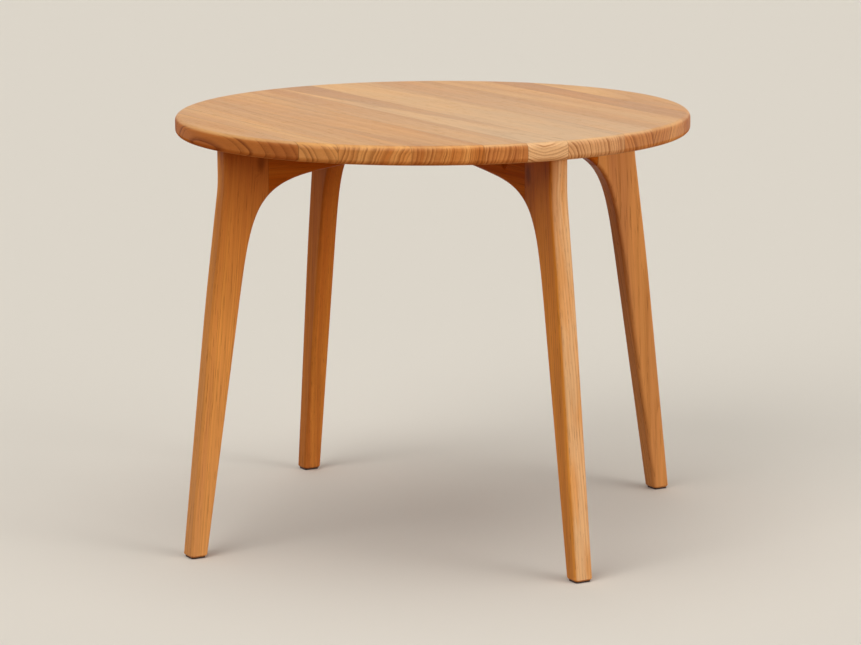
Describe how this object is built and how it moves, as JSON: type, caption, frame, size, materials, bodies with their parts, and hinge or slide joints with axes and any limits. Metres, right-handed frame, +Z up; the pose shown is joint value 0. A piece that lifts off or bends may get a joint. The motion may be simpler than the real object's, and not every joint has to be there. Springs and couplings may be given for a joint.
{
  "type": "round dining table",
  "caption": "Round solid-wood dining table: an edge-glued plank top with an eased rim, arched cross rails that halve together, and splayed, tapering legs on felt pads.",
  "frame": {"origin": "on the floor under the middle of the top", "axes": "+Z up; +X along the boards of the top and along one cross rail, +Y along the other rail; a leg stands at the end of each axis"},
  "size_m": [0.9334, 0.9334, 0.698],
  "materials": {
    "top_wood": "sanded and oiled to a satin, light brown",
    "frame_wood": "sanded and oiled to a satin, orange brown",
    "dowel_beech": "plain turned beech",
    "screw_steel": "zinc plated",
    "felt": "dense dark felt"
  },
  "bodies": {
    "root": {"top_board_01": "top_wood", "top_board_02": "top_wood", "top_board_03": "top_wood", "top_board_04": "top_wood", "top_board_05": "top_wood", "top_board_06": "top_wood", "top_board_07": "top_wood", "top_board_08": "top_wood", "top_board_09": "top_wood", "top_board_10": "top_wood", "top_board_11": "top_wood", "leg_right": "frame_wood", "leg_back": "frame_wood", "leg_left": "frame_wood", "leg_front": "frame_wood", "rail_left_right": "frame_wood", "rail_front_back": "frame_wood", "leg_dowels": "dowel_beech", "top_screws": "screw_steel", "foot_pad_right": "felt", "foot_pad_back": "felt", "foot_pad_left": "felt", "foot_pad_front": "felt"}
  },
  "joints": []
}
